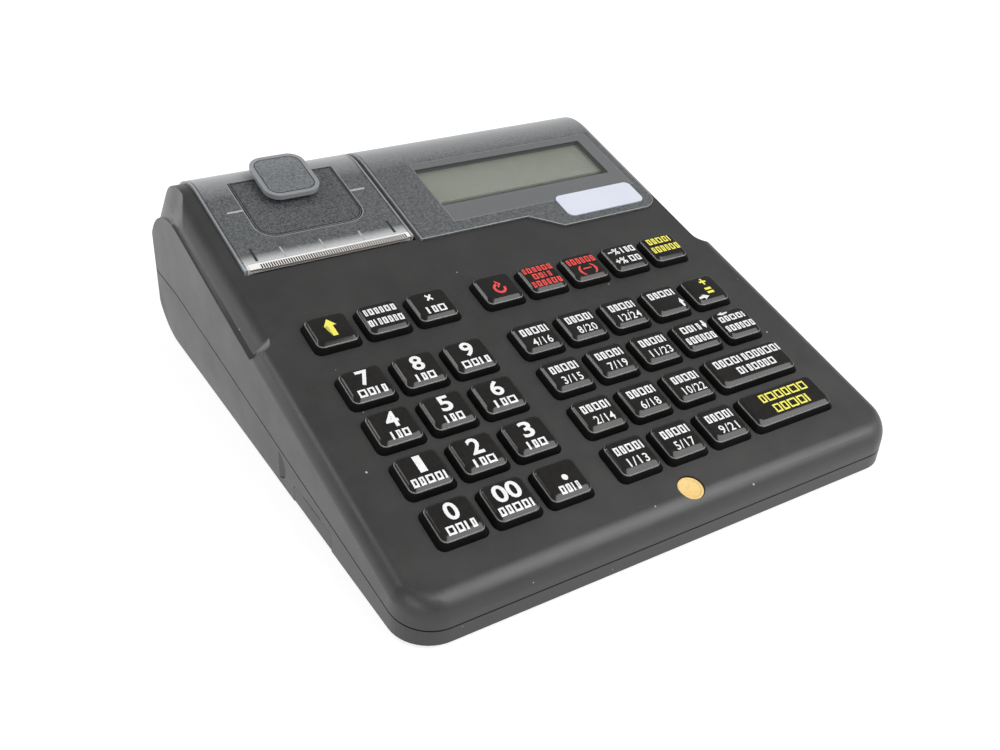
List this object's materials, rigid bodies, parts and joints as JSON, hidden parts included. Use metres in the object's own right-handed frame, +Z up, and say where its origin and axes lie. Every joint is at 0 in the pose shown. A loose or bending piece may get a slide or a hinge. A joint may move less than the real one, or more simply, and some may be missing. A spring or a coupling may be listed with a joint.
{
  "type": "portable cash register",
  "caption": "Portable ticket cash register: sloping key deck, roll printer under a hinged cover with a clear release lever, and a long stepped display window.",
  "frame": {"origin": "on the table, under the middle of the casing's outline seen from above", "axes": "+X to the operator's right, +Y to the back, +Z up"},
  "size_m": [0.194, 0.2136, 0.0699],
  "materials": {
    "top_case": "satin",
    "base_case": "satin",
    "side_door": "satin",
    "cable_sockets": "matte",
    "case_screws": "plated",
    "rubber_feet": "matte",
    "paper_tray": "matte",
    "print_head": "glazed",
    "drive_motor": "plain",
    "motor_pinion": "plain",
    "platen_roller": "matte",
    "platen_shaft": "ground",
    "platen_gear": "natural",
    "printer_cover": "smoked clear",
    "release_lever": "clear",
    "tear_bar": "stamped",
    "display_window": "smoked clear",
    "lcd_module": "satin",
    "label_plate": "glossy",
    "seal_plug": "wax-like",
    "key_mat": "moulded",
    "main_board": "lacquered",
    "key": "polished"
  },
  "bodies": {
    "casing": {"top_case": "top_case", "base_case": "base_case", "cable_sockets": "cable_sockets", "case_screws": "case_screws", "rubber_feet": "rubber_feet", "paper_tray": "paper_tray", "print_head": "print_head", "drive_motor": "drive_motor", "display_window": "display_window", "lcd_module": "lcd_module", "label_plate": "label_plate", "seal_plug": "seal_plug", "key_mat": "key_mat", "main_board": "main_board"},
    "cover": {"printer_cover": "printer_cover", "tear_bar": "tear_bar"},
    "lever": {"release_lever": "release_lever"},
    "platen": {"platen_roller": "platen_roller", "platen_shaft": "platen_shaft", "platen_gear": "platen_gear"},
    "pinion": {"motor_pinion": "motor_pinion"},
    "door": {"side_door": "side_door"},
    "key_0_body": {"key_0": "key"},
    "key_00_body": {"key_00": "key"},
    "key_point_body": {"key_point": "key"},
    "key_1_body": {"key_1": "key"},
    "key_2_body": {"key_2": "key"},
    "key_3_body": {"key_3": "key"},
    "key_4_body": {"key_4": "key"},
    "key_5_body": {"key_5": "key"},
    "key_6_body": {"key_6": "key"},
    "key_7_body": {"key_7": "key"},
    "key_8_body": {"key_8": "key"},
    "key_9_body": {"key_9": "key"},
    "key_dept_1_body": {"key_dept_1": "key"},
    "key_dept_2_body": {"key_dept_2": "key"},
    "key_dept_3_body": {"key_dept_3": "key"},
    "key_dept_4_body": {"key_dept_4": "key"},
    "key_dept_5_body": {"key_dept_5": "key"},
    "key_dept_6_body": {"key_dept_6": "key"},
    "key_dept_7_body": {"key_dept_7": "key"},
    "key_dept_8_body": {"key_dept_8": "key"},
    "key_dept_9_body": {"key_dept_9": "key"},
    "key_dept_10_body": {"key_dept_10": "key"},
    "key_dept_11_body": {"key_dept_11": "key"},
    "key_dept_12_body": {"key_dept_12": "key"},
    "key_price_body": {"key_price": "key"},
    "key_card_body": {"key_card": "key"},
    "key_item_body": {"key_item": "key"},
    "key_report_body": {"key_report": "key"},
    "key_up_body": {"key_up": "key"},
    "key_mode_body": {"key_mode": "key"},
    "key_times_body": {"key_times": "key"},
    "key_clear_body": {"key_clear": "key"},
    "key_void_body": {"key_void": "key"},
    "key_change_body": {"key_change": "key"},
    "key_percent_body": {"key_percent": "key"},
    "key_operator_body": {"key_operator": "key"},
    "key_total_body": {"key_total": "key"},
    "key_subtotal_body": {"key_subtotal": "key"}
  },
  "joints": [
    {"name": "cover_hinge", "type": "hinge", "parent": "casing", "child": "cover", "pos_m": [0, 0.10019, 0.05545], "axis": [-1, 0, 0], "range_deg": [0, 80]},
    {"name": "lever_pivot", "type": "hinge", "parent": "cover", "child": "lever", "pos_m": [0, 0.06567, 0.05742], "axis": [1, 0, 0], "range_deg": [0, 12], "stiffness_Nm_per_rad": 0.2, "springref_deg": -6.88},
    {"name": "platen_spin", "type": "hinge", "parent": "cover", "child": "platen", "pos_m": [0, 0.04225, 0.04449], "axis": [1, 0, 0], "continuous": true},
    {"name": "pinion_spin", "type": "hinge", "parent": "casing", "child": "pinion", "pos_m": [0, 0.03916, 0.03342], "axis": [1, 0, 0], "continuous": true},
    {"name": "door_hinge", "type": "hinge", "parent": "casing", "child": "door", "pos_m": [-0.09625, 0, 0.00195], "axis": [0, -1, 0], "range_deg": [0, 90]},
    {"name": "key_0_press", "type": "slide", "parent": "casing", "child": "key_0_body", "axis": [0, 0.2487, -0.9686], "range_m": [0, 0.002], "stiffness_N_per_m": 150, "springref_m": -0.001},
    {"name": "key_00_press", "type": "slide", "parent": "casing", "child": "key_00_body", "axis": [0, 0.2487, -0.9686], "range_m": [0, 0.002], "stiffness_N_per_m": 150, "springref_m": -0.001},
    {"name": "key_point_press", "type": "slide", "parent": "casing", "child": "key_point_body", "axis": [0, 0.2487, -0.9686], "range_m": [0, 0.002], "stiffness_N_per_m": 150, "springref_m": -0.001},
    {"name": "key_1_press", "type": "slide", "parent": "casing", "child": "key_1_body", "axis": [0, 0.2487, -0.9686], "range_m": [0, 0.002], "stiffness_N_per_m": 150, "springref_m": -0.001},
    {"name": "key_2_press", "type": "slide", "parent": "casing", "child": "key_2_body", "axis": [0, 0.2487, -0.9686], "range_m": [0, 0.002], "stiffness_N_per_m": 150, "springref_m": -0.001},
    {"name": "key_3_press", "type": "slide", "parent": "casing", "child": "key_3_body", "axis": [0, 0.2487, -0.9686], "range_m": [0, 0.002], "stiffness_N_per_m": 150, "springref_m": -0.001},
    {"name": "key_4_press", "type": "slide", "parent": "casing", "child": "key_4_body", "axis": [0, 0.2487, -0.9686], "range_m": [0, 0.002], "stiffness_N_per_m": 150, "springref_m": -0.001},
    {"name": "key_5_press", "type": "slide", "parent": "casing", "child": "key_5_body", "axis": [0, 0.2487, -0.9686], "range_m": [0, 0.002], "stiffness_N_per_m": 150, "springref_m": -0.001},
    {"name": "key_6_press", "type": "slide", "parent": "casing", "child": "key_6_body", "axis": [0, 0.2487, -0.9686], "range_m": [0, 0.002], "stiffness_N_per_m": 150, "springref_m": -0.001},
    {"name": "key_7_press", "type": "slide", "parent": "casing", "child": "key_7_body", "axis": [0, 0.2487, -0.9686], "range_m": [0, 0.002], "stiffness_N_per_m": 150, "springref_m": -0.001},
    {"name": "key_8_press", "type": "slide", "parent": "casing", "child": "key_8_body", "axis": [0, 0.2487, -0.9686], "range_m": [0, 0.002], "stiffness_N_per_m": 150, "springref_m": -0.001},
    {"name": "key_9_press", "type": "slide", "parent": "casing", "child": "key_9_body", "axis": [0, 0.2487, -0.9686], "range_m": [0, 0.002], "stiffness_N_per_m": 150, "springref_m": -0.001},
    {"name": "key_dept_1_press", "type": "slide", "parent": "casing", "child": "key_dept_1_body", "axis": [0, 0.2487, -0.9686], "range_m": [0, 0.002], "stiffness_N_per_m": 150, "springref_m": -0.001},
    {"name": "key_dept_2_press", "type": "slide", "parent": "casing", "child": "key_dept_2_body", "axis": [0, 0.2487, -0.9686], "range_m": [0, 0.002], "stiffness_N_per_m": 150, "springref_m": -0.001},
    {"name": "key_dept_3_press", "type": "slide", "parent": "casing", "child": "key_dept_3_body", "axis": [0, 0.2487, -0.9686], "range_m": [0, 0.002], "stiffness_N_per_m": 150, "springref_m": -0.001},
    {"name": "key_dept_4_press", "type": "slide", "parent": "casing", "child": "key_dept_4_body", "axis": [0, 0.2487, -0.9686], "range_m": [0, 0.002], "stiffness_N_per_m": 150, "springref_m": -0.001},
    {"name": "key_dept_5_press", "type": "slide", "parent": "casing", "child": "key_dept_5_body", "axis": [0, 0.2487, -0.9686], "range_m": [0, 0.002], "stiffness_N_per_m": 150, "springref_m": -0.001},
    {"name": "key_dept_6_press", "type": "slide", "parent": "casing", "child": "key_dept_6_body", "axis": [0, 0.2487, -0.9686], "range_m": [0, 0.002], "stiffness_N_per_m": 150, "springref_m": -0.001},
    {"name": "key_dept_7_press", "type": "slide", "parent": "casing", "child": "key_dept_7_body", "axis": [0, 0.2487, -0.9686], "range_m": [0, 0.002], "stiffness_N_per_m": 150, "springref_m": -0.001},
    {"name": "key_dept_8_press", "type": "slide", "parent": "casing", "child": "key_dept_8_body", "axis": [0, 0.2487, -0.9686], "range_m": [0, 0.002], "stiffness_N_per_m": 150, "springref_m": -0.001},
    {"name": "key_dept_9_press", "type": "slide", "parent": "casing", "child": "key_dept_9_body", "axis": [0, 0.2487, -0.9686], "range_m": [0, 0.002], "stiffness_N_per_m": 150, "springref_m": -0.001},
    {"name": "key_dept_10_press", "type": "slide", "parent": "casing", "child": "key_dept_10_body", "axis": [0, 0.2487, -0.9686], "range_m": [0, 0.002], "stiffness_N_per_m": 150, "springref_m": -0.001},
    {"name": "key_dept_11_press", "type": "slide", "parent": "casing", "child": "key_dept_11_body", "axis": [0, 0.2487, -0.9686], "range_m": [0, 0.002], "stiffness_N_per_m": 150, "springref_m": -0.001},
    {"name": "key_dept_12_press", "type": "slide", "parent": "casing", "child": "key_dept_12_body", "axis": [0, 0.2487, -0.9686], "range_m": [0, 0.002], "stiffness_N_per_m": 150, "springref_m": -0.001},
    {"name": "key_price_press", "type": "slide", "parent": "casing", "child": "key_price_body", "axis": [0, 0.2487, -0.9686], "range_m": [0, 0.002], "stiffness_N_per_m": 150, "springref_m": -0.001},
    {"name": "key_card_press", "type": "slide", "parent": "casing", "child": "key_card_body", "axis": [0, 0.2487, -0.9686], "range_m": [0, 0.002], "stiffness_N_per_m": 150, "springref_m": -0.001},
    {"name": "key_item_press", "type": "slide", "parent": "casing", "child": "key_item_body", "axis": [0, 0.2487, -0.9686], "range_m": [0, 0.002], "stiffness_N_per_m": 150, "springref_m": -0.001},
    {"name": "key_report_press", "type": "slide", "parent": "casing", "child": "key_report_body", "axis": [0, 0.2487, -0.9686], "range_m": [0, 0.002], "stiffness_N_per_m": 150, "springref_m": -0.001},
    {"name": "key_up_press", "type": "slide", "parent": "casing", "child": "key_up_body", "axis": [0, 0.2487, -0.9686], "range_m": [0, 0.002], "stiffness_N_per_m": 150, "springref_m": -0.001},
    {"name": "key_mode_press", "type": "slide", "parent": "casing", "child": "key_mode_body", "axis": [0, 0.2487, -0.9686], "range_m": [0, 0.002], "stiffness_N_per_m": 150, "springref_m": -0.001},
    {"name": "key_times_press", "type": "slide", "parent": "casing", "child": "key_times_body", "axis": [0, 0.2487, -0.9686], "range_m": [0, 0.002], "stiffness_N_per_m": 150, "springref_m": -0.001},
    {"name": "key_clear_press", "type": "slide", "parent": "casing", "child": "key_clear_body", "axis": [0, 0.2487, -0.9686], "range_m": [0, 0.002], "stiffness_N_per_m": 150, "springref_m": -0.001},
    {"name": "key_void_press", "type": "slide", "parent": "casing", "child": "key_void_body", "axis": [0, 0.2487, -0.9686], "range_m": [0, 0.002], "stiffness_N_per_m": 150, "springref_m": -0.001},
    {"name": "key_change_press", "type": "slide", "parent": "casing", "child": "key_change_body", "axis": [0, 0.2487, -0.9686], "range_m": [0, 0.002], "stiffness_N_per_m": 150, "springref_m": -0.001},
    {"name": "key_percent_press", "type": "slide", "parent": "casing", "child": "key_percent_body", "axis": [0, 0.2487, -0.9686], "range_m": [0, 0.002], "stiffness_N_per_m": 150, "springref_m": -0.001},
    {"name": "key_operator_press", "type": "slide", "parent": "casing", "child": "key_operator_body", "axis": [0, 0.2487, -0.9686], "range_m": [0, 0.002], "stiffness_N_per_m": 150, "springref_m": -0.001},
    {"name": "key_total_press", "type": "slide", "parent": "casing", "child": "key_total_body", "axis": [0, 0.2487, -0.9686], "range_m": [0, 0.002], "stiffness_N_per_m": 150, "springref_m": -0.001},
    {"name": "key_subtotal_press", "type": "slide", "parent": "casing", "child": "key_subtotal_body", "axis": [0, 0.2487, -0.9686], "range_m": [0, 0.002], "stiffness_N_per_m": 150, "springref_m": -0.001}
  ],
  "couplings": [
    {"joint": "pinion_spin", "follows": "platen_spin", "ratio": -1.3}
  ]
}
